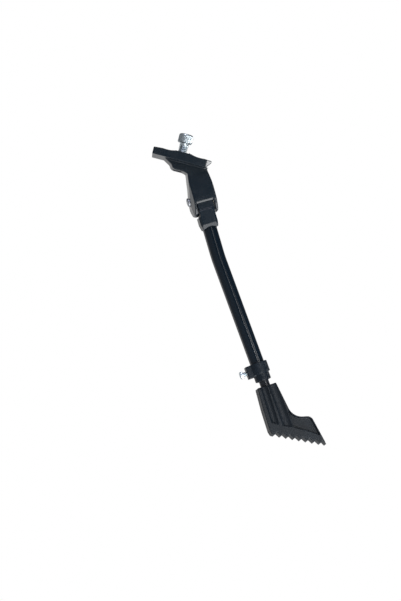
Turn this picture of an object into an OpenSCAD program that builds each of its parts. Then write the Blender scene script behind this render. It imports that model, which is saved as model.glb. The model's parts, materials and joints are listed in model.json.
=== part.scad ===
// Adjustable centre-mount bicycle kickstand, deployed.
// Origin: bolt axis on the top face of the mounting plate. +X is outboard, +Y is to the
// rear of the bicycle, +Z is up along the mounting bolt. Sizes are in millimetres.

/* [Mounting plate] */
// Length of the plate across the chainstays
plate_w = 60; // [54:1:70]
// Depth of the plate along the chainstays
plate_d = 38; // [34:1:46]
// Thickness of the plate
plate_t = 10; // [7:0.2:11]
// Extra length of the plate's outboard tip
plate_tip = 3.1; // [2:0.1:4]
// Extra length of the plate's front edge at its inboard end
plate_lead = 3.9; // [1:0.1:4.5]
// Distance of each chainstay saddle from the bolt
saddle_x = 19; // [17:0.5:21]
// Depth of the chainstay saddles
saddle_depth = 1.5; // [0.6:0.1:2]
// Radius of the chainstay saddles
saddle_r = 34; // [24:1:45]
// Height of the grip teeth on the plate
grip_h = 1.6; // [1:0.1:2.2]

/* [Mounting bolt] */
// Thread size of the mounting bolt
bolt_d = 10; // [8:1:12]
// Head diameter
bolt_head_d = 16; // [15:0.5:18]
// Head height
bolt_head_h = 10; // [8:0.5:11]
// Length under the head
bolt_len = 30; // [28:1:45]
// Grip left between the plate and the head
bolt_grip = 12.2; // [6:0.2:14]
// Key size of the hexagon socket
bolt_key = 8; // [6:1:8]
// Depth of the threaded boss under the plate
boss_depth = 19.8; // [18:0.2:22]

/* [Pivot] */
// Distance of the leg pivot outboard of the bolt
pivot_x = 33; // [31:0.5:35]
// Distance of the leg pivot below the plate's top face
pivot_drop = 43.4; // [42:0.2:46]
// Lean of the upper leg from vertical
lean_upper = 30.5; // [28:0.5:33]
// Lean of the lower leg from vertical
lean_lower = 34.4; // [33.5:0.1:37]
// Diameter of the pivot pin
pin_d = 7; // [6:0.5:8]
// Head diameter of the pivot pin
pin_head_d = 10; // [9.5:0.5:11]
// Width of the fork housing over its cheeks
fork_w = 27.6; // [26.6:0.2:29]
// Thickness of the inboard cheek
cheek_in = 5.3; // [4.7:0.1:6]
// Thickness of the outboard cheek
cheek_out = 2.3; // [2:0.1:2.9]
// Reach of the housing in front of the pivot
fork_front = 14; // [13.6:0.2:16]
// Reach of the housing behind the pivot
fork_back = 13; // [12:0.5:15]
// Radius of the cheeks below the pivot
ear_r = 18.4; // [16:0.2:19]
// Thickness of the housing's front wall
front_wall = 2.8; // [2:0.2:3.2]
// Thickness of the thrust washers
thrust_t = 0.7; // [0.5:0.1:1]
// Wall of the bush in the leg's hub
bush_wall = 0.9; // [0.7:0.1:1.2]
// Swing of the leg from deployed to stowed
swing = 95; // [85:1:100]

/* [Toggle spring] */
// Distance of the toggle pin from the pivot
toggle_r = 9; // [8.8:0.1:9.4]
// Distance of the anchor pin above the pivot
anchor_h = 29; // [28:0.5:30]
// Diameter of the anchor pin
anchor_d = 4; // [3.5:0.5:5]
// Diameter of the toggle pin
toggle_d = 3.5; // [3:0.5:4]
// Outer diameter of the spring
spring_d = 8.4; // [7.6:0.2:9]
// Wire diameter of the spring
wire_d = 1.4; // [1.1:0.1:1.6]
// Number of turns of the spring
spring_turns = 6; // [5:1:7]
// Thickness of the flanges on the spring seats
seat_t = 1.2; // [1:0.1:1.6]

/* [Leg] */
// Outer diameter of the leg tube
tube_d = 16; // [14:0.5:17]
// Wall of the leg tube
tube_wall = 1.6; // [1.2:0.1:2]
// Distance from the pivot to the bend of the tube
bend_s = 67.5; // [60:0.5:75]
// Distance from the bend to the lower end of the tube
tube_end = 145.5; // [130:0.5:160]
// Distance from the pivot to the upper end of the tube
tube_top = 14.5; // [14.2:0.1:16]
// Distance from the pivot to the lower edge of the leg head
head_len = 34.2; // [33:0.2:40]
// Distance from the pivot to the shoulder of the leg head
shoulder_s = 12.2; // [11:0.2:13]
// Width of the leg head below the cheeks
head_w = 20; // [19:0.2:21]
// Offset of the leg head inboard of the leg axis
head_in = 0.1; // [0:0.1:1]
// Diameter of the cross pins that hold the tube and the foot
cross_pin_d = 4; // [3:0.5:5]

/* [Height adjustment] */
// Wall of the bush between the tube and the rod
tube_bush_wall = 0.9; // [0.7:0.1:1.4]
// Rod length hidden in the tube
rod_hidden = 69; // [66:1:90]
// Rod length seen between the tube and the foot
rod_gap = 6.8; // [4:0.1:12]
// Rod length held in the foot
rod_in_foot = 36; // [28:1:38]
// Wall of the collar round the tube
collar_wall = 2.8; // [2.3:0.1:4]
// Length of the collar's ring
collar_len = 12.3; // [11:0.1:13.5]
// Distance from the tube's lower end to the collar
collar_up = 8.6; // [8:0.1:12]
// Length of the collar's skirt below its ring
skirt_len = 8.2; // [3:0.1:8.4]
// Wall of the collar's skirt
skirt_wall = 1; // [0.8:0.1:2]
// Reach of the lug from the tube
lug_out = 7; // [6.4:0.1:9]
// Height of the lug along the leg
lug_h = 13.8; // [12:0.2:15]
// Width of the lug
lug_w = 13; // [12:0.5:15]
// Thread size of the set screw
set_d = 5; // [4:1:5]
// Key size of the set screw's hexagon head
set_key = 8; // [7:0.5:9]
// Thickness of the set screw's head
set_head_h = 3.5; // [3:0.1:4]
// Thread seen between the head and the lug
set_proud = 4.4; // [1:0.1:5]
// Length of the bush in the lower end of the tube
bush_len = 8; // [6:0.5:8]
// Length of the guide on the upper end of the rod
guide_len = 10; // [8:0.5:12]

/* [Foot] */
// Depth of the foot from front to back
foot_d = 22; // [20:0.5:26]
// Width of the foot's socket at its top
socket_w = 21.8; // [21:0.2:26]
// Length of the foot down the leg, to its heel corner
foot_len = 47.8; // [45:0.2:50]
// Distance down the leg from the foot's top to the corner of its toe
toe_drop = 48.2; // [46:0.2:52]
// Distance of the toe's corner from the leg axis
toe_reach = 34.9; // [33:0.1:38]
// Radius of the hollow between the socket and the toe
toe_hollow = 16.3; // [12:0.1:18]
// Radius of the toe's corner
toe_round = 7; // [5:0.1:8]
// Pitch of the sole's teeth
tooth_pitch = 7.4; // [6:0.1:8]
// Depth of the sole's teeth
tooth_depth = 3.7; // [2.5:0.1:4.5]
// Number of teeth
tooth_count = 8; // [6:1:8]
// Depth of the flutes in the foot's faces
flute_depth = 2.2; // [1.2:0.1:3]
// Depth of the toe's recessed panels
panel_depth = 4.5; // [2:0.1:6]
// Width of the lip round the toe's panels
lip_w = 1.3; // [1:0.1:2.5]

/* [Clearances] */
// Radial clearance of running fits
run_gap = 0.06; // [0.03:0.01:0.1]
// Radial clearance of seated fits
seat_gap = 0.01; // [0.01:0.01:0.03]
// Clearance between moving faces
side_gap = 0.15; // [0.1:0.01:0.2]

/* [Hidden] */
$fn = 64;
eps = 0.01;

// Housing, in the frame of the pivot
cavity_half = (fork_w - cheek_in - cheek_out) / 2;
mid_x = (cheek_in - cheek_out) / 2;
hub_half = cavity_half - thrust_t - side_gap;
wall_in = fork_front - front_wall;
heel_y = wall_in - side_gap;
rim_drop = 5;
chamber_half = 5.2;
chamber_front = 9;
chamber_top = anchor_h + 3.7;
chamber_floor = 12.6;

// Toggle, in the frame of the pivot
toggle_y = toggle_r * sin(swing / 2);
toggle_z = toggle_r * cos(swing / 2);
strut_len = norm([toggle_y, anchor_h - toggle_z]);
strut_tilt = atan2(toggle_y, anchor_h - toggle_z);
upper_face = anchor_d / 2 + 3.2;
lower_face = toggle_d / 2 + 2.6;
spring_len = strut_len - upper_face - lower_face;
slot_half = 4.6;
lobe_r = 3.4;
eye_r = 2.7;

// Leg
bend_angle = lean_lower - lean_upper;
bore_r = tube_d / 2 - tube_wall;
rod_d = 2 * (bore_r - tube_bush_wall);
collar_d = tube_d + 2 * collar_wall;
flare_s = ear_r + 1.4;
head_left = -head_w / 2 - head_in;
head_right = head_w / 2 - head_in;
pin_s = (tube_top + head_len) / 2;

// Height adjustment, measured from the bend along the lower leg
collar_bottom = tube_end - collar_up;
collar_top = collar_bottom - collar_len;
lug_mid = collar_top + 7.2;
set_s = lug_mid;
rod_top = tube_end - rod_hidden;
foot_top = tube_end + rod_gap;
rod_end = foot_top + rod_in_foot;
lug_reach = tube_d / 2 + lug_out;
nut_t = 0.8 * set_d;
nut_w = tube_d / 2 + 0.6;

// Foot, in the frame of the lower leg: w outboard, s down the leg
sole_tilt = 4.3;

function rad_dir(lean) = [sin(lean), -cos(lean)];
function out_dir(lean) = [cos(lean), sin(lean)];
pivot = [pivot_x, -pivot_drop];
bend = pivot + bend_s * rad_dir(lean_upper);
// Point in the XZ plane at s down the lower leg and w outboard of its axis
function low(s, w) = bend + s * rad_dir(lean_lower) + w * out_dir(lean_lower);
// Point in the XZ plane at s below the pivot and w outboard of it
function upp(s, w) = pivot + s * rad_dir(lean_upper) + w * out_dir(lean_upper);
function arc(c, r, a0, a1, n) = [for (i = [0:n]) let (a = a0 + (a1 - a0) * i / n)
    c + r * [cos(a), sin(a)]];

// Places children in the pivot's frame: +X outboard along the pin, +Z up the leg
module at_pivot() translate([pivot_x, 0, -pivot_drop]) rotate([0, -lean_upper, 0]) children();
// Places children in the same frame, at the middle between the cheeks
module at_mid() at_pivot() translate([mid_x, 0, 0]) children();
// Places children at s down the lower leg, +X outboard, +Z up the leg
module at_low(s = 0) translate([bend[0], 0, bend[1]]) rotate([0, -lean_lower, 0])
    translate([0, 0, -s]) children();
// Extrudes an outline in the XZ plane to both sides of it
module prism_xz(depth) rotate([90, 0, 0]) linear_extrude(depth, center = true) children();
// Extrudes an outline in the YZ plane to both sides of it
module prism_yz(width) rotate([90, 0, 90]) linear_extrude(width, center = true) children();
module along_x(r, x0, x1) translate([x0, 0, 0]) rotate([0, 90, 0]) cylinder(r = r, h = x1 - x0);

// Mounting bracket, one casting: plate, threaded boss, neck and fork housing

module plate_plan() {
    inner = 1;
    outer = 6;
    tip = plate_w / 2 + plate_tip;
    front = -plate_w / 2 - plate_lead;
    polygon([[front + inner, -plate_d / 2], [tip - outer, -plate_d / 2],
        [tip, -plate_d / 2 + outer], [tip, plate_d / 2 - outer],
        [tip - outer, plate_d / 2], [-plate_w / 2 + inner, plate_d / 2],
        [-plate_w / 2, plate_d / 2 - inner], [front, -plate_d / 2 + inner]]);
}

module plate() {
    bevel = 5.3;
    tip = plate_w / 2 + plate_tip;
    inboard = -plate_w / 2 - plate_lead;
    difference() {
        intersection() {
            prism_xz(plate_d) polygon([[inboard, -2], [-saddle_x - 5, -1.2], [-saddle_x, 0],
                [saddle_x - 8, 0], [saddle_x + 8, -1.3], [tip, -0.9], [tip, -3.4],
                [tip - bevel, -plate_t], [inboard, -plate_t]]);
            translate([0, 0, -plate_t]) linear_extrude(plate_t) plate_plan();
        }
        for (side = [-1, 1]) translate([side * saddle_x, 0, saddle_r - saddle_depth])
            rotate([90, 0, 0]) cylinder(r = saddle_r, h = plate_d + 2, center = true, $fn = 180);
    }
}

module body_outline() {
    inboard = fork_w / 2;
    polygon(concat(
        [[-20.5, -plate_t + 1], [-9.6, -boss_depth + 4.6], [-7.2, -boss_depth + 1.2],
            [-4, -boss_depth], [6, -boss_depth]],
        [upp(-31, -8.2), upp(-18, -10.3), upp(-11, -11.4), upp(-4, -inboard + 1.1),
            upp(2, -inboard + 0.4), upp(8, -inboard), upp(ear_r - 2, -inboard + 0.6),
            upp(ear_r + 0.2, -inboard + 2.6)],
        [upp(ear_r + 1.5, inboard - 2.6), upp(ear_r - 1.5, inboard + 0.4), upp(11, inboard + 1),
            upp(5, inboard + 1.6)],
        [upp(-1.6, inboard + 1.8), upp(-8.5, inboard + 2), upp(-15.6, inboard + 2),
            upp(-22.8, inboard + 1.3), upp(-27.5, inboard + 0.7), upp(-31, inboard + 0.9),
            [31.5, -plate_t + 1]]));
}

module side_profile() {
    polygon(concat(
        [[-fork_front, -3], [-fork_front, 2], [-fork_front + 1, 12], [-fork_front + 3.4, 28],
            [-fork_front + 4, 60], [10.5, 60], [10, 26], [10.5, 15], [fork_back, 8]],
        arc([0, 0], ear_r, -asin(10 / ear_r), -90 - asin(10 / ear_r), 14),
        [[-fork_front + 1, -10]]));
}

module mount_bracket() color("#22262a") difference() {
    union() {
        plate();
        grip_teeth();
        intersection() {
            prism_xz(4 * fork_front) body_outline();
            at_pivot() prism_yz(8 * fork_front) side_profile();
        }
    }
    // thread of the mounting bolt
    translate([0, 0, -boss_depth - 5]) cylinder(r = bolt_d / 2 + run_gap, h = boss_depth + 10);
    at_mid() {
        // room for the leg head, open to the rear and below
        translate([-cavity_half, -wall_in, -60]) cube([2 * cavity_half, 60, 60 + chamber_floor]);
        translate([-cavity_half, -60, -60]) cube([2 * cavity_half, 60, 60 - rim_drop]);
        // spring chamber, open to the rear
        translate([-chamber_half, -chamber_front, chamber_floor - eps])
            cube([2 * chamber_half, 60, chamber_top - chamber_floor]);
        // rounded lower rim of the front wall
        difference() {
            translate([-cavity_half, -fork_front - 1, -rim_drop - 1])
                cube([2 * cavity_half, front_wall + 1, front_wall + 1]);
            translate([0, -wall_in, -rim_drop + front_wall])
                along_x(front_wall, -cavity_half - 1, cavity_half + 1);
        }
        // shallow band across the front wall
        translate([-cavity_half, -fork_front - 1, 7.5]) cube([2 * cavity_half, 1.8, 6]);
        translate([0, 0, anchor_h])
            along_x(anchor_d / 2 + seat_gap, -chamber_half - 2, fork_w);
    }
    at_pivot() {
        // slanted front corner of the inboard side
        rotate([0, 3.4, 0]) translate([0, 0, -2 * ear_r]) linear_extrude(2 * ear_r + anchor_h)
            polygon([[-9.3, -fork_front - 1], [-9.8, -fork_front],
                [-fork_w / 2 - 0.2, -4], [-fork_w, -4], [-fork_w, -fork_front - 1]]);
        along_x(pin_d / 2 + seat_gap, -fork_w, fork_w);
        // spot faces for the pin's head and its washer
        along_x(pin_head_d / 2 + 0.8, -2 * fork_w, -fork_w / 2);
        along_x(pin_head_d / 2 + 0.8, fork_w / 2, 2 * fork_w);
    }
}

module grip_teeth() for (y = [-14, 14]) translate([7, y, -0.5])
    cylinder(r1 = 1.4, r2 = 0.3, h = grip_h + 0.5, $fn = 24);

module mount_bolt() color("#b9bec4") difference() {
    union() {
        translate([0, 0, bolt_grip - bolt_len]) cylinder(r = bolt_d / 2, h = bolt_len + 1);
        translate([0, 0, bolt_grip]) rotate_extrude() polygon([[0, 0], [bolt_head_d / 2 - 0.5, 0],
            [bolt_head_d / 2, 0.5], [bolt_head_d / 2, bolt_head_h - 1],
            [bolt_head_d / 2 - 1, bolt_head_h], [0, bolt_head_h]]);
    }
    translate([0, 0, bolt_grip + bolt_head_h / 2])
        cylinder(d = bolt_key / cos(30), h = bolt_head_h, $fn = 6);
    translate([0, 0, bolt_grip - bolt_len]) difference() {
        translate([0, 0, -1]) cylinder(r = bolt_d, h = 2);
        cylinder(r1 = bolt_d / 2 - 1, r2 = bolt_d / 2, h = 1);
    }
}

// Pivot of the leg

module pivot_pin() color("#8d9297") at_pivot() {
    along_x(pin_d / 2, -fork_w / 2 - 0.5, fork_w / 2 + 2);
    translate([-fork_w / 2, 0, 0]) rotate([0, -90, 0]) rotate_extrude()
        polygon(concat([[0, 0], [pin_head_d / 2, 0]],
            arc([pin_head_d / 2 - 2, 0.5], 2, 0, 90, 8), [[0, 2.5]]));
}

module pin_washer() color("#8d9297") at_pivot() difference() {
    along_x(pin_head_d / 2, fork_w / 2, fork_w / 2 + 1.2);
    along_x(pin_d / 2 + seat_gap, 0, fork_w);
}

module thrust_washer(x0) at_mid() difference() {
    along_x(8, x0, x0 + thrust_t);
    along_x(pin_d / 2 + run_gap, -fork_w, fork_w);
}

module thrust_washer_inboard() color("#c9c6b8") thrust_washer(-cavity_half);
module thrust_washer_outboard() color("#c9c6b8") thrust_washer(cavity_half - thrust_t);

module pivot_bush() color("#b08d4c") at_mid() difference() {
    along_x(pin_d / 2 + bush_wall, -hub_half, hub_half);
    along_x(pin_d / 2 + run_gap, -fork_w, fork_w);
}

// Over-centre toggle

module anchor_pin() color("#8d9297") at_mid() translate([0, 0, anchor_h])
    along_x(anchor_d / 2, -chamber_half - 2 + seat_gap, chamber_half + 5);

module toggle_pin() color("#8d9297") at_mid() translate([0, toggle_y, toggle_z])
    along_x(toggle_d / 2, -hub_half + 0.2, hub_half - 0.2);

// Places children at the anchor pin with +Z pointing from the toggle pin to the anchor pin
module at_strut() at_mid() translate([0, 0, anchor_h]) rotate([strut_tilt, 0, 0]) children();

// Spring seat: an eye on a pin, a flange and a spigot inside the spring
module spring_seat(pin, face) {
    half = slot_half - 0.9;
    spigot_r = spring_d / 2 - wire_d - 0.35;
    difference() {
        union() {
            along_x(eye_r, -half, half);
            translate([-half, -eye_r + 0.4, -face]) cube([2 * half, 2 * eye_r - 0.8, face]);
            translate([0, 0, -face]) cylinder(r = spring_d / 2 - 0.1, h = seat_t);
            translate([0, 0, -face - 2.6]) cylinder(r = spigot_r, h = 3);
        }
        along_x(pin / 2 + run_gap, -10, 10);
    }
}

module upper_spring_seat() color("#9a9fa3") at_strut() spring_seat(anchor_d, upper_face);
module lower_spring_seat() color("#9a9fa3") at_strut() translate([0, 0, -strut_len])
    mirror([0, 0, 1]) spring_seat(toggle_d, lower_face);

module toggle_spring() {
    ring = 8;
    steps = 14;
    coil_r = spring_d / 2 - wire_d / 2;
    rise = spring_len - wire_d - 0.1;
    count = spring_turns * steps;
    pts = [for (i = [0:count]) let (a = i * 360 / steps, z = rise * i / count)
        for (j = [0:ring - 1]) let (b = j * 360 / ring, r = coil_r + wire_d / 2 * cos(b))
            [r * cos(a), r * sin(a), z + wire_d / 2 * sin(b)]];
    sides = [for (i = [0:count - 1], j = [0:ring - 1]) let (k = (j + 1) % ring)
        [i * ring + j, i * ring + k, (i + 1) * ring + k, (i + 1) * ring + j]];
    color("#777c80") at_strut()
        translate([0, 0, -strut_len + lower_face + wire_d / 2 + 0.05])
        polyhedron(pts, concat([[for (j = [ring - 1:-1:0]) j]], sides,
            [[for (j = [0:ring - 1]) count * ring + j]]), convexity = 12);
}

// Leg head, one casting: hub with toggle ears, stop heel, shoulder and tube socket

module ear_outline() {
    n = [cos(swing / 2), -sin(swing / 2)];
    hub_r = 8.6;
    circle(r = hub_r);
    translate([toggle_y, toggle_z]) circle(r = lobe_r);
    polygon([hub_r * n, [toggle_y, toggle_z] + lobe_r * n, [toggle_y, toggle_z] - lobe_r * n,
        -hub_r * n]);
}

module heel_outline() polygon(concat([[0, 0]],
    [[-heel_y, 0], [-heel_y, -shoulder_s - 3], [9, -shoulder_s - 3], [8.6, 0]]));

module head_section(d, c) polygon([[head_left + c, -d], [head_right - c, -d],
    [head_right, -d + c], [head_right, 9 - c], [head_right - c, 9], [head_left + c, 9],
    [head_left, 9 - c], [head_left, -d + c]]);

module head_block() {
    front = fork_front - 1.2;
    intersection() {
        // side view: shoulder at the front, bevelled lower edge
        prism_yz(2 * head_w) polygon([[-front, -shoulder_s - 1], [-front + 1, -shoulder_s],
            [8.6, -shoulder_s + 2], [9, -24], [8.6, -head_len], [-9.8, -head_len],
            [-front, -head_len + 5]]);
        // front view: one width between the cheeks, another below them
        prism_xz(60) polygon([[mid_x - hub_half, 0], [mid_x + hub_half, 0],
            [mid_x + hub_half, -flare_s], [head_right, -flare_s], [head_right, -28],
            [head_right - 1, -head_len], [head_left + 1.8, -head_len], [head_left, -28],
            [head_left, -flare_s], [mid_x - hub_half, -flare_s]]);
        translate([0, 0, -head_len]) linear_extrude(head_len) head_section(front, 2.4);
    }
}

module leg_head() color("#1d2226") at_pivot() difference() {
    union() {
        translate([mid_x, 0, 0]) {
            prism_yz(2 * hub_half) ear_outline();
            prism_yz(2 * hub_half) heel_outline();
        }
        head_block();
    }
    // slot for the lower spring seat, round the hub's sleeve
    translate([mid_x, 0, 0]) difference() {
        translate([-slot_half, -30, -3]) cube([2 * slot_half, 60, 60]);
        along_x(pin_d / 2 + bush_wall + 1.4, -slot_half - 1, slot_half + 1);
        translate([-slot_half - 1, -30, -31]) cube([2 * slot_half + 2, 60 - 22.5, 31]);
    }
    along_x(pin_d / 2 + bush_wall + seat_gap, -fork_w, fork_w);
    translate([0, toggle_y, toggle_z]) along_x(toggle_d / 2 + seat_gap, -fork_w, fork_w);
    // tube socket and the arched lower edge in front of it
    translate([0, 0, -head_len - 1])
        cylinder(r = tube_d / 2 + seat_gap, h = head_len - tube_top + 1);
    translate([0, 0, -head_len - 9.4]) rotate([90, 0, 0]) cylinder(r = 11.4, h = 60, center = true);
    // blind cross hole from the rear
    translate([0, 0, -pin_s]) rotate([-90, 0, 0])
        translate([0, 0, -tube_d / 2 - 1]) cylinder(r = cross_pin_d / 2 + seat_gap, h = 40);
}

module cross_pin(front, back) rotate([-90, 0, 0]) translate([0, 0, -front]) difference() {
    cylinder(r = cross_pin_d / 2, h = front + back);
    translate([0, 0, front + back - 3]) cylinder(r = cross_pin_d / 4, h = 4);
}

module tube_pin() color("#6f7478") at_pivot() translate([0, 0, -pin_s])
    cross_pin(tube_d / 2 + 0.9, 8.8);

// Places children at the bend, +Z up a leg that leans by this angle
module at_bend(lean) translate([bend[0], 0, bend[1]]) rotate([0, -lean, 0]) children();

// Round bar along the whole leg: two straight lengths, each cut by the plane of the mitre
module leg_bar(r, top, end) {
    middle = (lean_upper + lean_lower) / 2;
    intersection() {
        at_bend(lean_upper) translate([0, 0, -tube_d]) cylinder(r = r, h = bend_s - top + tube_d);
        at_bend(middle) translate([-tube_d, -tube_d, 0]) cube([2 * tube_d, 2 * tube_d, 2 * bend_s]);
    }
    intersection() {
        at_bend(lean_lower) translate([0, 0, -end]) cylinder(r = r, h = end + tube_d);
        at_bend(middle) translate([-tube_d, -tube_d, -2 * tube_end])
            cube([2 * tube_d, 2 * tube_d, 2 * tube_end]);
    }
}

module leg_tube() color("#1b1f23") difference() {
    leg_bar(tube_d / 2, tube_top, tube_end);
    leg_bar(bore_r, tube_top - 1, tube_end + 1);
    at_pivot() translate([0, 0, -pin_s]) rotate([-90, 0, 0])
        cylinder(r = cross_pin_d / 2 + seat_gap, h = 2 * tube_d, center = true);
    at_low(set_s) along_x(set_d / 2 + 0.3, -30, 0);
}

// Height adjustment

module height_collar() color("#17191b") at_low(collar_bottom) difference() {
    union() {
        rotate_extrude() polygon([[0, -skirt_len], [tube_d / 2 + skirt_wall, -skirt_len],
            [tube_d / 2 + skirt_wall, 0], [collar_d / 2, 0], [collar_d / 2, collar_len],
            [0, collar_len]]);
        translate([-lug_reach, -lug_w / 2, collar_bottom - lug_mid - lug_h / 2])
            cube([lug_reach, lug_w, lug_h]);
    }
    translate([0, 0, -20]) cylinder(r = tube_d / 2 + seat_gap, h = 60);
    translate([0, 0, collar_bottom - set_s]) {
        along_x(set_d / 2 + 0.3, -30, 0);
        // slot for the nut, open to the rear
        translate([-nut_w - nut_t - seat_gap, -set_key / 2 / cos(30) - seat_gap,
            -set_key / 2 - seat_gap]) cube([nut_t + 2 * seat_gap, 30, set_key + 2 * seat_gap]);
    }
}

module clamp_nut() color("#a9aeb3") at_low(set_s) difference() {
    translate([-nut_w - nut_t, 0, 0]) rotate([0, 90, 0]) rotate([0, 0, 30])
        cylinder(d = set_key / cos(30), h = nut_t, $fn = 6);
    along_x(set_d / 2 + run_gap, -30, 0);
}

module set_screw() color("#b9bec4") at_low(set_s) {
    head_x = -lug_reach - set_proud;
    along_x(set_d / 2, head_x - 1, -rod_d / 2 - 0.3);
    intersection() {
        translate([head_x - set_head_h, 0, 0]) rotate([0, 90, 0]) rotate([0, 0, 30])
            cylinder(d = set_key / cos(30), h = set_head_h, $fn = 6);
        translate([head_x, 0, 0]) rotate([0, -90, 0])
            cylinder(r1 = set_key / 2 + 2.5, r2 = set_key / 2 + 0.1, h = set_head_h);
    }
}

module tube_bush() color("#2a2c2e") at_low(tube_end) difference() {
    cylinder(r = bore_r - seat_gap, h = bush_len);
    translate([0, 0, -1]) cylinder(r = rod_d / 2 + run_gap, h = bush_len + 2);
}

module inner_rod() color("#1b1f23") at_low(rod_end) difference() {
    cylinder(r = rod_d / 2, h = rod_end - rod_top);
    translate([0, 0, rod_end - rod_top - guide_len - 4])
        cylinder(r = rod_d / 4, h = guide_len + 5);
    translate([0, 0, rod_in_foot / 2]) rotate([90, 0, 0])
        cylinder(r = cross_pin_d / 2 + seat_gap, h = 40, center = true);
}

module rod_guide() color("#d8d6cc") at_low(rod_top) {
    cylinder(r = bore_r - run_gap, h = guide_len);
    translate([0, 0, -guide_len]) cylinder(r = rod_d / 4 - seat_gap, h = guide_len + 1);
}

// Foot, one moulding: socket, fluted faces, toe and toothed sole

sole_heel = low(198.6, -15.6);
sole_dir = [cos(sole_tilt), sin(sole_tilt)];
sole_up = [-sin(sole_tilt), cos(sole_tilt)];
// Point at u along the sole from its heel and h above the tooth tips
function sole(u, h) = sole_heel + u * sole_dir + (h - 4.6) * sole_up;
sole_len = 8.2 + tooth_count * tooth_pitch;

// Points of a corner at p between a and b, rounded to the radius r
function rounded(a, p, b, r) = let (ua = (a - p) / norm(a - p), ub = (b - p) / norm(b - p),
    half = acos(ua * ub) / 2, c = p + r / sin(half) * (ua + ub) / norm(ua + ub),
    from = p + r / tan(half) * ua - c, to = p + r / tan(half) * ub - c,
    a0 = atan2(from[1], from[0]), a1 = atan2(to[1], to[0]),
    turn = (a1 - a0 + 540) % 360 - 180) arc(c, r, a0, a0 + turn, 8);

module foot_side() {
    half = socket_w / 2;
    heel_s = foot_top + foot_len;
    side_top = low(foot_top, half);
    neck = low(foot_top + toe_drop - 5.5, half + 4.5);
    corner = low(foot_top + toe_drop, toe_reach);
    toe = sole(sole_len - 3.6, 4.2);
    polygon(concat(
        [side_top, low(foot_top - 0.6, -half), low(foot_top + foot_len / 2, -half - 2.3),
            low(heel_s + 0.4, -half - 3.4), low(heel_s + 4.6, -half - 2.5)],
        [for (i = [0:tooth_count - 1], p = [0:1])
            sole(8.2 + i * tooth_pitch + (p == 0 ? 0.2 : 1.6), p == 0 ? 0 : tooth_depth)],
        [sole(sole_len - 0.8, 0.2), toe],
        rounded(toe, corner, neck, toe_round),
        rounded(corner, neck, side_top, toe_hollow)));
}

module foot_band() polygon([sole(-3, 14), sole(-3, 0), sole(sole_len + 4, -2),
    sole(sole_len + 4, 7), sole(42, 11.6), sole(22, 12.4), sole(12, 12)]);

module flutes() {
    side = foot_d / 2;
    tall = 60;
    // flutes beside the central rib
    at_low(foot_top + tall) {
        translate([-6.6, -side - 2.2, 0]) rotate([0, 2.8, 0])
            cylinder(r = 2.2 + flute_depth, h = tall + 10);
        translate([6.3, -side - 4.6, 0]) cylinder(r = 4.6 + flute_depth, h = tall + 10);
    }
}

module toe_panel() prism_xz(2 * panel_depth) difference() {
    offset(delta = -lip_w) foot_side();
    polygon([low(foot_top - 10, -60), low(foot_top - 10, 12.4), low(240, 12.4), low(240, -60)]);
}

module foot() color("#15181a") difference() {
    prism_xz(foot_d) foot_side();
    for (m = [0, 1]) mirror([0, m, 0]) difference() {
        union() {
            flutes();
            translate([0, -foot_d / 2, 0]) toe_panel();
        }
        prism_xz(60) foot_band();
    }
    at_low(rod_end) cylinder(r = rod_d / 2 + seat_gap, h = 80);
    at_low(foot_top + rod_in_foot / 2) rotate([-90, 0, 0])
        translate([0, 0, -rod_d / 2 - 1]) cylinder(r = cross_pin_d / 2 + seat_gap, h = 40);
}

module foot_pin() color("#6f7478") at_low(foot_top + rod_in_foot / 2)
    cross_pin(rod_d / 2 + 0.9, 9.4);

mount_bracket();
mount_bolt();
pivot_pin();
pin_washer();
thrust_washer_inboard();
thrust_washer_outboard();
anchor_pin();
upper_spring_seat();
toggle_spring();
lower_spring_seat();
leg_head();
pivot_bush();
toggle_pin();
leg_tube();
tube_pin();
height_collar();
clamp_nut();
set_screw();
tube_bush();
inner_rod();
rod_guide();
foot();
foot_pin();
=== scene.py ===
"""Looks of the centre kickstand: finishes, cast edges, threads, camera and studio.

Everything is in metres in the CAD frame: origin on the mounting bolt's axis at the plate's
top face, +X outboard, +Y to the rear, +Z up. MM turns a millimetre value into metres.
"""

import json
import math

import bmesh
import bpy
from mathutils import Matrix, Vector

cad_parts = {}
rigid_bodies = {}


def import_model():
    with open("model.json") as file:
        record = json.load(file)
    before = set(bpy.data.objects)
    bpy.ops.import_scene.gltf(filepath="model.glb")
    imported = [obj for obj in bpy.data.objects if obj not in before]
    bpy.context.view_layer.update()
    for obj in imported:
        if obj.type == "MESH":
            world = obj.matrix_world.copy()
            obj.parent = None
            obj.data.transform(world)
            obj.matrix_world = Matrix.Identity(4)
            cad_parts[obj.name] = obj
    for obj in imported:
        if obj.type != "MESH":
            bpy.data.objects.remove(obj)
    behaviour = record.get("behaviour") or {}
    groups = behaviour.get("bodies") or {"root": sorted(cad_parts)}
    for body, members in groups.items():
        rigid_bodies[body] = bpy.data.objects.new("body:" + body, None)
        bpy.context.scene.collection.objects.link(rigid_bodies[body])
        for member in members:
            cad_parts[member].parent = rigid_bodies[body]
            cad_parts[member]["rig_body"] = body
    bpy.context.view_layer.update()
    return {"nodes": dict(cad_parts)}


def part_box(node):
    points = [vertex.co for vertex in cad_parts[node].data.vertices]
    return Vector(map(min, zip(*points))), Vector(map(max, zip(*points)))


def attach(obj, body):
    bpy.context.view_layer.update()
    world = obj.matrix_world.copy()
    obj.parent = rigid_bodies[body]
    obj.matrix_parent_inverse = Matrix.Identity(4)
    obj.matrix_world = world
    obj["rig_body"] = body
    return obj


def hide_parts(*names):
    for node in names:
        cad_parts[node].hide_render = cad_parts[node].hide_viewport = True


MM = 0.001
REAR = Vector((0, 1, 0))

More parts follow.
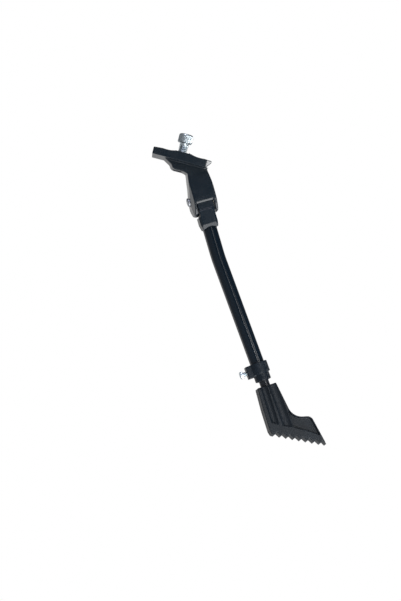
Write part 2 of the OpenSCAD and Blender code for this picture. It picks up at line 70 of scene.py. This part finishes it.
# Leg geometry, as in the part's source
LEAN_UPPER = math.radians(30.5)
LEAN_LOWER = math.radians(34.4)
SWING = math.radians(95)
PIVOT = Vector((33.0, 0.0, -43.4)) * MM
HUB_OFFSET = 1.5 * MM
TUBE_R = 8.0 * MM
TUBE_BORE_R = 6.4 * MM

# Distances down the leg, the first two from the pivot and the others from the bend
TUBE_TOP_S = 14.5 * MM
BEND_S = 67.5 * MM
TUBE_END_S = 145.5 * MM
SET_SCREW_S = 131.8 * MM

# Radius of the tube's bend at its centreline, where the source has a mitre
BEND_RADIUS = 150.0 * MM


def leg_dir(lean):
    """Direction down a leg that leans outboard by this angle."""
    return Vector((math.sin(lean), 0, -math.cos(lean)))


def out_dir(lean):
    """Direction outboard, square to a leg with this lean."""
    return Vector((math.cos(lean), 0, math.sin(lean)))


BEND = PIVOT + BEND_S * leg_dir(LEAN_UPPER)


# Materials: noise scales are in cycles per metre, bump distances in metres

# Colour sockets of the Mix node, which shares their names with its other types
MIX_FIRST, MIX_SECOND, MIX_RESULT = 6, 7, 2


def new_material(name):
    """A new material, its node tree and its Principled shader."""
    mat = bpy.data.materials.new(name)
    mat.use_nodes = True
    tree = mat.node_tree
    return mat, tree, tree.nodes["Principled BSDF"]


def object_coords(tree):
    return tree.nodes.new("ShaderNodeTexCoord").outputs["Object"]


def noise(tree, coords, scale, detail, roughness=0.5):
    node = tree.nodes.new("ShaderNodeTexNoise")
    node.inputs["Scale"].default_value = scale
    node.inputs["Detail"].default_value = detail
    node.inputs["Roughness"].default_value = roughness
    tree.links.new(coords, node.inputs["Vector"])
    return node.outputs["Fac"]


def remap(tree, value, low, high, to_low=0.0, to_high=1.0):
    node = tree.nodes.new("ShaderNodeMapRange")
    node.inputs["From Min"].default_value = low
    node.inputs["From Max"].default_value = high
    node.inputs["To Min"].default_value = to_low
    node.inputs["To Max"].default_value = to_high
    tree.links.new(value, node.inputs["Value"])
    return node.outputs["Result"]


def mix_colors(tree, factor, first, second):
    node = tree.nodes.new("ShaderNodeMix")
    node.data_type = "RGBA"
    node.inputs[MIX_FIRST].default_value = (*first, 1)
    node.inputs[MIX_SECOND].default_value = (*second, 1)
    tree.links.new(factor, node.inputs["Factor"])
    return node.outputs[MIX_RESULT]


def bump(tree, height, strength, distance):
    node = tree.nodes.new("ShaderNodeBump")
    node.inputs["Strength"].default_value = strength
    node.inputs["Distance"].default_value = distance
    tree.links.new(height, node.inputs["Height"])
    return node.outputs["Normal"]


def painted(name, color, edge_highlight, rough, specular=0.4):
    """Gloss paint with orange peel, cloudy roughness and a painted highlight that makes the edges
    a little paler.
    """
    mat, tree, shader = new_material(name)
    coords = object_coords(tree)
    cloud = noise(tree, coords, scale=90, detail=3)
    # painted highlight: sharp convex edges, found by pointiness, get a paler base colour, as if
    # they caught the light
    pointy = tree.nodes.new("ShaderNodeNewGeometry").outputs["Pointiness"]
    edge = remap(tree, pointy, low=0.53, high=0.62, to_high=0.75)
    peel = noise(tree, coords, scale=900, detail=2)
    tree.links.new(mix_colors(tree, edge, color, edge_highlight), shader.inputs["Base Color"])
    tree.links.new(remap(tree, cloud, 0.3, 0.7, rough - 0.02, rough + 0.04),
                   shader.inputs["Roughness"])
    tree.links.new(bump(tree, peel, strength=0.01, distance=0.2 * MM), shader.inputs["Normal"])
    shader.inputs["Specular IOR Level"].default_value = specular
    return mat


def moulded(name, color, rough, grain, grain_scale, specular=0.4):
    """Moulded nylon with an even grain of this strength."""
    mat, tree, shader = new_material(name)
    coords = object_coords(tree)
    cloud = noise(tree, coords, scale=60, detail=3)
    paler = tuple(1.5 * c + 0.002 for c in color)
    pits = noise(tree, coords, grain_scale, detail=3, roughness=0.6)
    tree.links.new(mix_colors(tree, remap(tree, cloud, 0.35, 0.75), color, paler),
                   shader.inputs["Base Color"])
    tree.links.new(remap(tree, cloud, 0.3, 0.7, rough - 0.05, rough + 0.07),
                   shader.inputs["Roughness"])
    tree.links.new(bump(tree, pits, grain, distance=0.3 * MM), shader.inputs["Normal"])
    shader.inputs["Specular IOR Level"].default_value = specular
    return mat


def metal(name, color, dull, rough, scratch=0.08, metallic=1.0):
    """Plated or plain steel or bronze with small stains and fine scratches."""
    mat, tree, shader = new_material(name)
    coords = object_coords(tree)
    stain = noise(tree, coords, scale=260, detail=4, roughness=0.6)
    scratches = noise(tree, coords, scale=2200, detail=2)
    tree.links.new(mix_colors(tree, remap(tree, stain, 0.35, 0.7), color, dull),
                   shader.inputs["Base Color"])
    tree.links.new(remap(tree, stain, 0.3, 0.7, rough - 0.03, rough + 0.05),
                   shader.inputs["Roughness"])
    tree.links.new(bump(tree, scratches, scratch, distance=0.1 * MM), shader.inputs["Normal"])
    shader.inputs["Metallic"].default_value = metallic
    return mat


# each paint's second colour is the paler colour of its painted edge highlight
BLACK_PAINT = painted("gloss_black", color=(0.0035, 0.0085, 0.014),
                      edge_highlight=(0.018, 0.022, 0.028), rough=0.23)
HEAD_PAINT = painted("satin_black", color=(0.0045, 0.0098, 0.016),
                     edge_highlight=(0.014, 0.018, 0.024), rough=0.28, specular=0.24)
TUBE_PAINT = painted("tube_black", color=(0.0022, 0.0058, 0.0105),
                     edge_highlight=(0.012, 0.014, 0.018), rough=0.14, specular=0.2)
FOOT_NYLON = moulded("foot_nylon", color=(0.0032, 0.0055, 0.0085), rough=0.45,
                     grain=0.01, grain_scale=1400, specular=0.18)
COLLAR_NYLON = moulded("collar_nylon", color=(0.0026, 0.0056, 0.0095), rough=0.36,
                       grain=0.2, grain_scale=1500, specular=0.15)
BUSH_NYLON = moulded("bush_nylon", color=(0.02, 0.02, 0.021), rough=0.45,
                     grain=0.2, grain_scale=1200)
NATURAL_NYLON = moulded("natural_nylon", color=(0.55, 0.52, 0.44), rough=0.45,
                        grain=0.15, grain_scale=1200)
ZINC = metal("zinc", color=(0.54, 0.61, 0.65), dull=(0.42, 0.48, 0.52), rough=0.33,
             scratch=0.01, metallic=0.9)
PIN_STEEL = metal("pin_steel", color=(0.36, 0.38, 0.41), dull=(0.22, 0.23, 0.25), rough=0.36)
BLACK_STEEL = metal("black_steel", color=(0.12, 0.12, 0.13), dull=(0.07, 0.07, 0.08), rough=0.4)
SPRING_STEEL = metal("spring_steel", color=(0.30, 0.31, 0.33), dull=(0.18, 0.19, 0.21),
                     rough=0.33)
BRONZE = metal("bronze", color=(0.55, 0.38, 0.16), dull=(0.35, 0.24, 0.1), rough=0.35)

# CAD nodes that keep their own shape
FINISHES = {
    "pivot_pin": PIN_STEEL, "pin_washer": ZINC, "anchor_pin": PIN_STEEL,
    "toggle_pin": PIN_STEEL, "tube_pin": BLACK_STEEL, "foot_pin": BLACK_STEEL,
    "clamp_nut": ZINC, "upper_spring_seat": PIN_STEEL, "lower_spring_seat": PIN_STEEL,
    "pivot_bush": BRONZE, "thrust_washer_inboard": NATURAL_NYLON,
    "thrust_washer_outboard": NATURAL_NYLON, "rod_guide": NATURAL_NYLON,
    "tube_bush": BUSH_NYLON, "inner_rod": TUBE_PAINT,
}


# Pieces

def set_material(obj, material):
    obj.data.materials.clear()
    obj.data.materials.append(material)


def place_piece(obj, node, material):
    """Gives a piece its finish and lets it stand for a CAD node, on that node's body."""
    set_material(obj, material)
    body = frame["nodes"][node]["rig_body"]
    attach(obj, body)
    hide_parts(node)


def mesh_piece(name, bm, smooth=True):
    """A new object from a bmesh, which it frees."""
    mesh = bpy.data.meshes.new(name)
    bmesh.ops.recalc_face_normals(bm, faces=bm.faces)
    bm.to_mesh(mesh)
    bm.free()
    for face in mesh.polygons:
        face.use_smooth = smooth
    obj = bpy.data.objects.new(name, mesh)
    bpy.context.scene.collection.objects.link(obj)
    return obj


def bake_modifiers(obj):
    """Applies the modifiers of an object to its mesh."""
    graph = bpy.context.evaluated_depsgraph_get()
    mesh = bpy.data.meshes.new_from_object(obj.evaluated_get(graph))
    obj.modifiers.clear()
    obj.data = mesh
    for face in mesh.polygons:
        face.use_smooth = True


def soften(node, name, voxel, rounds, material):
    """A copy of a CAD node with the rounded edges of a casting or moulding replaces it."""
    weld = 0.002 * MM
    bm = bmesh.new()
    bm.from_mesh(frame["nodes"][node].data)
    bmesh.ops.remove_doubles(bm, verts=bm.verts, dist=weld)
    obj = mesh_piece(name, bm)
    remesh = obj.modifiers.new("remesh", "REMESH")
    remesh.mode = "VOXEL"
    remesh.voxel_size = voxel
    smooth = obj.modifiers.new("smooth", "SMOOTH")
    smooth.factor = 0.5
    smooth.iterations = rounds
    bake_modifiers(obj)
    place_piece(obj, node, material)


def frame_matrix(origin, axis, side=REAR):
    """Matrix that puts local +Z on axis, local +Y near side and the origin at origin."""
    z = axis.normalized()
    x = side.cross(z).normalized()
    y = z.cross(x)
    return Matrix.Translation(origin) @ Matrix((x, y, z)).transposed().to_4x4()


def angles(steps):
    """Equal steps round a full turn."""
    return [2 * math.pi * i / steps for i in range(steps)]


def bridge(bm, low, high):
    """Closes the band between two rings with as many vertices."""
    for i in range(len(low)):
        k = (i + 1) % len(low)
        bm.faces.new((low[i], low[k], high[k], high[i]))


def cap_ends(bm, rings):
    bm.faces.new(list(reversed(rings[0])))
    bm.faces.new(rings[-1])


def lathe(name, rows, steps, origin, axis):
    """Revolves rows about an axis. A row is (z, radius), or (z, function of the angle)."""
    bm = bmesh.new()
    rings = []
    for z, radius in rows:
        ring = []
        for a in angles(steps):
            r = radius(a) if callable(radius) else radius
            ring.append(bm.verts.new((r * math.cos(a), r * math.sin(a), z)))
        rings.append(ring)
    for low, high in zip(rings, rings[1:]):
        bridge(bm, low, high)
    cap_ends(bm, rings)
    bm.transform(frame_matrix(origin, axis))
    return mesh_piece(name, bm)


def thread_rows(start, length, radius, pitch, depth):
    """Rows of a screw thread from start, faded in and out at both ends."""
    rows_per_turn = 8
    # shares of half a pitch: the flat at the root, and the flank above it
    root, flank = 0.12, 0.76
    rows = []
    count = max(2, round(length / pitch * rows_per_turn))
    for i in range(count + 1):
        z = start + length * i / count
        fade = min(1.0, (z - start) / pitch, (start + length - z) / pitch)

        def section(a, z=z, fade=fade):
            phase = (z / pitch - a / (2 * math.pi)) % 1.0
            rise = 1 - abs(2 * phase - 1)
            cut = min(1.0, max(0.0, (rise - root) / flank))
            return radius - depth * fade * (1 - cut)

        rows.append((z, section))
    return rows


def hexagon(flat):
    """Radius of a hexagon with this distance across its flats, by angle."""
    def section(a):
        turn = (a + math.pi / 6) % (math.pi / 3) - math.pi / 6
        return flat / 2 / math.cos(turn)
    return section


def dress_mount_bolt():
    """Socket-head screw with a fine-knurled head, rolled thread and hexagon socket."""
    low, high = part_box("mount_bolt")
    radius, pitch, thread_depth = 5.0 * MM, 1.5 * MM, 0.85 * MM
    head_r, head_h = 8.0 * MM, 10.0 * MM
    knurl_count, knurl_depth = 56, 0.12 * MM
    mouth_flat, socket_flat, socket_depth = 8.3 * MM, 8.0 * MM, 5.0 * MM
    tip, top = low.z, high.z
    under = top - head_h

    def knurl(a):
        return head_r - knurl_depth + knurl_depth * math.cos(knurl_count * a)

    # chamfered tip and thread
    rows = [(tip, radius - 1.2 * MM), (tip + 0.6 * MM, radius - 0.6 * MM)]
    rows += thread_rows(tip + 0.9 * MM, under - tip - 4.4 * MM, radius, pitch, thread_depth)
    # plain shank, fillet, and the lower edge of the head
    rows += [(under - 3.2 * MM, radius), (under - 0.7 * MM, radius), (under, radius + 0.5 * MM),
             (under, head_r - 0.7 * MM), (under + 0.15 * MM, head_r - 0.35 * MM),
             (under + 0.5 * MM, head_r - 0.1 * MM)]
    # knurl and the upper edge
    rows += [(under + 0.9 * MM, knurl), (top - 2.2 * MM, knurl),
             (top - 1.8 * MM, head_r - knurl_depth), (top - 1.2 * MM, head_r - 0.15 * MM),
             (top - 0.25 * MM, head_r - 1.0 * MM), (top, head_r - 1.5 * MM)]
    # socket, with its countersink and the drill's point
    rows += [(top, 5.3 * MM), (top - 0.5 * MM, hexagon(mouth_flat)),
             (top - 0.9 * MM, hexagon(socket_flat)), (top - socket_depth, hexagon(socket_flat)),
             (top - socket_depth - 1.0 * MM, 1.0 * MM)]
    bolt = lathe("cap_screw", rows, 4 * knurl_count, Vector((0, 0, 0)), Vector((0, 0, 1)))
    place_piece(bolt, "mount_bolt", ZINC)


def dress_set_screw():
    """Hexagon-head set screw, its head turned to the inboard side."""
    axis = -out_dir(LEAN_LOWER)
    origin = BEND + SET_SCREW_S * leg_dir(LEAN_LOWER)
    # distances of the tip and of the head's washer face from the leg's axis
    tip, head = 5.8 * MM, 19.4 * MM
    radius, pitch, thread_depth = 2.5 * MM, 0.8 * MM, 0.42 * MM
    head_h, flat, washer_r = 3.5 * MM, 8.0 * MM, 3.6 * MM
    top = head + head_h

    rows = [(tip, 1.4 * MM), (tip + 0.8 * MM, 2.1 * MM)]
    rows += thread_rows(tip + 1.0 * MM, head - tip - 1.2 * MM, radius, pitch, thread_depth)
    rows += [(head - 0.1 * MM, radius), (head, 2.9 * MM), (head, washer_r),
             (head + 0.2 * MM, hexagon(flat - 0.2 * MM)), (head + 0.4 * MM, hexagon(flat)),
             (top - 1.0 * MM, hexagon(flat)), (top - 0.5 * MM, 3.98 * MM), (top, 3.5 * MM),
             (top - 0.3 * MM, 1.5 * MM)]
    screw = lathe("height_screw", rows, 120, origin, axis)
    place_piece(screw, "set_screw", ZINC)


def tube_path():
    """Centreline points of the leg tube: straight, a wide bend, straight."""
    upper, lower = leg_dir(LEAN_UPPER), leg_dir(LEAN_LOWER)
    half = (LEAN_LOWER - LEAN_UPPER) / 2
    steps = 10
    points = [PIVOT + upper * TUBE_TOP_S]
    start = BEND - upper * (BEND_RADIUS * math.tan(half))
    for i in range(steps + 1):
        turn = 2 * half * i / steps
        chord = 2 * BEND_RADIUS * math.sin(turn / 2)
        points.append(start + leg_dir(LEAN_UPPER + turn / 2) * chord)
    points.append(BEND + lower * TUBE_END_S)
    return points


def dress_tube():
    """Leg tube with its wide bend and lightly rounded ends."""
    steps = 96
    edge = 0.35 * MM
    path = tube_path()
    stations = []
    for i, point in enumerate(path):
        before = path[max(0, i - 1)]
        after = path[min(len(path) - 1, i + 1)]
        stations.append((point, (after - before).normalized()))
    (top, top_dir), (end, end_dir) = stations[0], stations[-1]
    # down the outside and back up the bore; extra rings beside each end keep the rounded
    # ends out of the tube's shading
    sweep = [(top, top_dir, TUBE_R - edge)]
    sweep += [(top + top_dir * edge * k, top_dir, TUBE_R) for k in (1, 2)]
    sweep += [(point, along, TUBE_R) for point, along in stations[1:-1]]
    sweep += [(end - end_dir * edge * k, end_dir, TUBE_R) for k in (2, 1)]
    sweep += [(end, end_dir, TUBE_R - edge), (end, end_dir, TUBE_BORE_R + edge)]
    sweep += [(end - end_dir * edge * k, end_dir, TUBE_BORE_R) for k in (1, 2)]
    sweep += [(point, along, TUBE_BORE_R) for point, along in reversed(stations[1:-1])]
    sweep += [(top + top_dir * edge, top_dir, TUBE_BORE_R), (top, top_dir, TUBE_BORE_R)]
    bm = bmesh.new()
    rings = []
    for point, along, radius in sweep:
        across = REAR.cross(along).normalized()
        rings.append([bm.verts.new(point + radius * (math.cos(a) * across + math.sin(a) * REAR))
                      for a in angles(steps)])
    for low, high in zip(rings, rings[1:] + rings[:1]):
        bridge(bm, low, high)
    place_piece(mesh_piece("bent_tube", bm), "leg_tube", TUBE_PAINT)


def dress_spring():
    """Round-wire compression spring with closed ends, between the two seats."""
    toggle_r, anchor_h = 9.0 * MM, 29.0 * MM
    outer, wire, turns = 8.4 * MM, 1.4 * MM, 6
    # distances of the seats' faces from their pins, clearance to them, turns that lie flat
    face_low, face_high, gap, closed = 4.35 * MM, 5.2 * MM, 0.05 * MM, 0.6
    steps, ring = 40, 14
    up = -leg_dir(LEAN_UPPER)
    middle = PIVOT + HUB_OFFSET * out_dir(LEAN_UPPER)
    anchor = middle + up * anchor_h
    toggle = (middle + up * (toggle_r * math.cos(SWING / 2))
              + Vector((0, toggle_r * math.sin(SWING / 2), 0)))
    strut = anchor - toggle
    rise = strut.length - face_low - face_high - wire - 2 * gap
    coil_r = (outer - wire) / 2
    bm = bmesh.new()
    rings = []
    for i in range(turns * steps + 1):
        turn = i / steps
        climb = min(1.0, max(0.0, (turn - closed) / (turns - 2 * closed)))
        a = 2 * math.pi * turn
        radial = Vector((math.cos(a), math.sin(a), 0))
        centre = radial * coil_r + Vector((0, 0, wire / 2 + gap + rise * climb))
        rings.append([bm.verts.new(centre + wire / 2 * (math.cos(b) * radial
                                                        + Vector((0, 0, math.sin(b)))))
                      for b in angles(ring)])
    for low, high in zip(rings, rings[1:]):
        bridge(bm, low, high)
    cap_ends(bm, rings)
    bm.transform(frame_matrix(toggle + strut.normalized() * face_low, strut))
    place_piece(mesh_piece("round_wire_spring", bm), "toggle_spring", SPRING_STEEL)


# Camera: the photograph looks slightly up, from a little inboard, and is rolled clockwise

YAW, TILT, ROLL = (math.radians(v) for v in (5.0, 7.0, 14.1))
CAMERA_DISTANCE = 0.6

# The photograph's rows, its middle and the CAD origin's place in it, in pixels
PIXEL = 1.107 * MM
PHOTO_ROWS = 601
PHOTO_CENTRE = (200.5, 300.5)
PHOTO_ORIGIN = (181.9, 153.9)

LEVEL = Vector((math.cos(YAW), -math.sin(YAW), 0))
RISE = Vector((-math.sin(TILT) * math.sin(YAW), -math.sin(TILT) * math.cos(YAW),
               math.cos(TILT)))
LOOK = Vector((math.cos(TILT) * math.sin(YAW), math.cos(TILT) * math.cos(YAW),
               math.sin(TILT)))
RIGHT = LEVEL * math.cos(ROLL) + RISE * math.sin(ROLL)
UP = RISE * math.cos(ROLL) - LEVEL * math.sin(ROLL)
CENTRE = (RIGHT * (PHOTO_CENTRE[0] - PHOTO_ORIGIN[0])
          - UP * (PHOTO_CENTRE[1] - PHOTO_ORIGIN[1])) * PIXEL


def add_camera():
    data = bpy.data.cameras.new("camera")
    data.type = "ORTHO"
    data.sensor_fit = "VERTICAL"
    data.ortho_scale = PHOTO_ROWS * PIXEL
    data.clip_start = 0.01
    data.clip_end = 100
    camera = bpy.data.objects.new("camera", data)
    turn = Matrix((RIGHT, UP, -LOOK)).transposed().to_4x4()
    camera.matrix_world = Matrix.Translation(CENTRE - LOOK * CAMERA_DISTANCE) @ turn
    bpy.context.scene.collection.objects.link(camera)
    bpy.context.scene.camera = camera


# Studio

# Light on the object, and the room that gloss shows on the camera's side and behind the
# object, where it is as white as the background. The room turns paler from ROOM_EDGE on,
# the cosine of an angle to the line of sight.
WORLD_LIGHT = 0.5
ROOM_FRONT = 0.1
ROOM_EDGE = 0.75
WHITE = 1.0

FLOOR_HALF = 40.0
FLOOR_DROP = 1.2
FLOOR_GLOW = 0.15


def add_light(name, target, normal, distance, size, radiance, along=UP, color=(1, 1, 1)):
    """Area light, its height along a direction, placed where it shows in a face's gloss.

    The face is at target and mirrors the light to the camera by its normal.
    """
    normal = normal.normalized()
    place = target + distance * (LOOK - 2 * LOOK.dot(normal) * normal)
    data = bpy.data.lights.new(name, "AREA")
    data.shape = "RECTANGLE"
    data.size, data.size_y = size
    data.energy = radiance * math.pi * size[0] * size[1]
    data.color = color
    light = bpy.data.objects.new(name, data)
    light.matrix_world = frame_matrix(place, place - target, along)
    bpy.context.scene.collection.objects.link(light)


def leg_normal(lean, degrees):
    """Normal of the leg's round face, turned right from the side towards the camera."""
    angle = math.radians(degrees)
    axis = leg_dir(lean)
    front = (axis * LOOK.dot(axis) - LOOK).normalized()
    right = front.cross(axis)
    if right.dot(RIGHT) < 0:
        right = -right
    return math.cos(angle) * front + math.sin(angle) * right


def add_lamps():
    """Strips and soft boxes, each placed where one face of the stand mirrors it."""
    upper_leg, lower_leg = leg_dir(LEAN_UPPER), leg_dir(LEAN_LOWER)
    up, out = -upper_leg, out_dir(LEAN_UPPER)
    middle = PIVOT + HUB_OFFSET * out
    inboard_side = middle - 12 * MM * out
    rim = middle - 5 * MM * up - 13 * MM * REAR
    plate_tip = Vector((31, -16, -3)) * MM

    # thin strip on the lower half of the tube and the rod, and a broad dim one on the rest
    add_light("tube_strip", BEND + 125 * MM * lower_leg, leg_normal(LEAN_LOWER, 13),
              distance=0.8, size=(0.03, 0.09), radiance=32.0, along=lower_leg)
    add_light("tube_box", BEND - 15 * MM * upper_leg, leg_normal(LEAN_UPPER, 15),
              distance=0.9, size=(0.16, 0.5), radiance=3.5, along=upper_leg)
    # left edge of the tube and the inboard side of the housing
    add_light("left_box", inboard_side, -0.92 * out - 0.39 * REAR,
              distance=0.9, size=(0.35, 0.9), radiance=1.4, along=upper_leg)
    # rounded rim of the housing's front wall, from in front and below
    add_light("rim_box", rim, -0.82 * REAR - 0.57 * up,
              distance=0.55, size=(0.26, 1.2), radiance=6.5, along=REAR)
    # shoulder of the leg head, from above and in front
    add_light("shoulder_box", rim, 0.45 * up - 0.89 * REAR,
              distance=0.8, size=(0.26, 0.6), radiance=6.5, along=REAR, color=(0.84, 0.85, 1.0))
    # slanted corner at the plate's outboard tip
    add_light("tip_box", plate_tip, Vector((0.7, -0.7, 0)),
              distance=0.9, size=(0.2, 0.2), radiance=19.0)
    # flutes of the foot
    add_light("foot_box", BEND + 175 * MM * lower_leg, leg_normal(LEAN_LOWER, 25),
              distance=0.8, size=(0.16, 0.2), radiance=7.0, along=lower_leg)


def add_world():
    """White for the camera, and for gloss behind the object; soft grey as light and in front."""
    world = bpy.data.worlds.new("studio")
    bpy.context.scene.world = world
    world.use_nodes = True
    tree = world.node_tree
    tree.nodes.clear()
    path = tree.nodes.new("ShaderNodeLightPath")
    direction = tree.nodes.new("ShaderNodeTexCoord").outputs["Generated"]
    facing = tree.nodes.new("ShaderNodeVectorMath")
    facing.operation = "DOT_PRODUCT"
    facing.inputs[1].default_value = LOOK
    tree.links.new(direction, facing.inputs[0])
    room = remap(tree, facing.outputs["Value"], ROOM_EDGE, 1.0, ROOM_FRONT, WHITE)

    def background(strength):
        node = tree.nodes.new("ShaderNodeBackground")
        node.inputs["Color"].default_value = (1, 1, 1, 1)
        if isinstance(strength, float):
            node.inputs["Strength"].default_value = strength
        else:
            tree.links.new(strength, node.inputs["Strength"])
        return node.outputs["Background"]

    def choose(ray, otherwise, when):
        node = tree.nodes.new("ShaderNodeMixShader")
        tree.links.new(path.outputs[ray], node.inputs["Fac"])
        tree.links.new(otherwise, node.inputs[1])
        tree.links.new(when, node.inputs[2])
        return node.outputs["Shader"]

    shader = choose("Is Glossy Ray", background(WORLD_LIGHT), background(room))
    for ray in ("Is Camera Ray", "Is Transmission Ray"):
        shader = choose(ray, shader, background(WHITE))
    out = tree.nodes.new("ShaderNodeOutputWorld")
    tree.links.new(shader, out.inputs["Surface"])


def add_floor():
    """Pale floor, low enough for the camera, which looks up, and the lamps to stay above it."""
    bm = bmesh.new()
    corners = [(-1, -1), (1, -1), (1, 1), (-1, 1)]
    bm.faces.new([bm.verts.new((x * FLOOR_HALF, y * FLOOR_HALF, -FLOOR_DROP))
                  for x, y in corners])
    floor = mesh_piece("floor", bm, smooth=False)
    mat, tree, shader = new_material("floor")
    shader.inputs["Base Color"].default_value = (0.8, 0.8, 0.8, 1)
    shader.inputs["Roughness"].default_value = 0.9
    shader.inputs["Emission Color"].default_value = (1, 1, 1, 1)
    # a little paler than its lit colour, alike for the eye and in what mirrors it
    path = tree.nodes.new("ShaderNodeLightPath")
    seen = path.outputs["Is Camera Ray"]
    for ray in ("Is Glossy Ray", "Is Transmission Ray"):
        either = tree.nodes.new("ShaderNodeMath")
        either.operation = "MAXIMUM"
        tree.links.new(seen, either.inputs[0])
        tree.links.new(path.outputs[ray], either.inputs[1])
        seen = either.outputs["Value"]
    tree.links.new(remap(tree, seen, 0, 1, to_high=FLOOR_GLOW), shader.inputs["Emission Strength"])
    floor.data.materials.append(mat)


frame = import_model()

for node, material in FINISHES.items():
    set_material(frame["nodes"][node], material)

soften("mount_bracket", "cast_bracket", voxel=0.5 * MM, rounds=8, material=BLACK_PAINT)
soften("leg_head", "cast_leg_head", voxel=0.4 * MM, rounds=8, material=HEAD_PAINT)
soften("foot", "moulded_foot", voxel=0.42 * MM, rounds=10, material=FOOT_NYLON)
soften("height_collar", "moulded_collar", voxel=0.35 * MM, rounds=6, material=COLLAR_NYLON)
dress_mount_bolt()
dress_set_screw()
dress_tube()
dress_spring()

bpy.context.scene.view_settings.view_transform = "Standard"
add_camera()
add_world()
add_floor()
add_lamps()
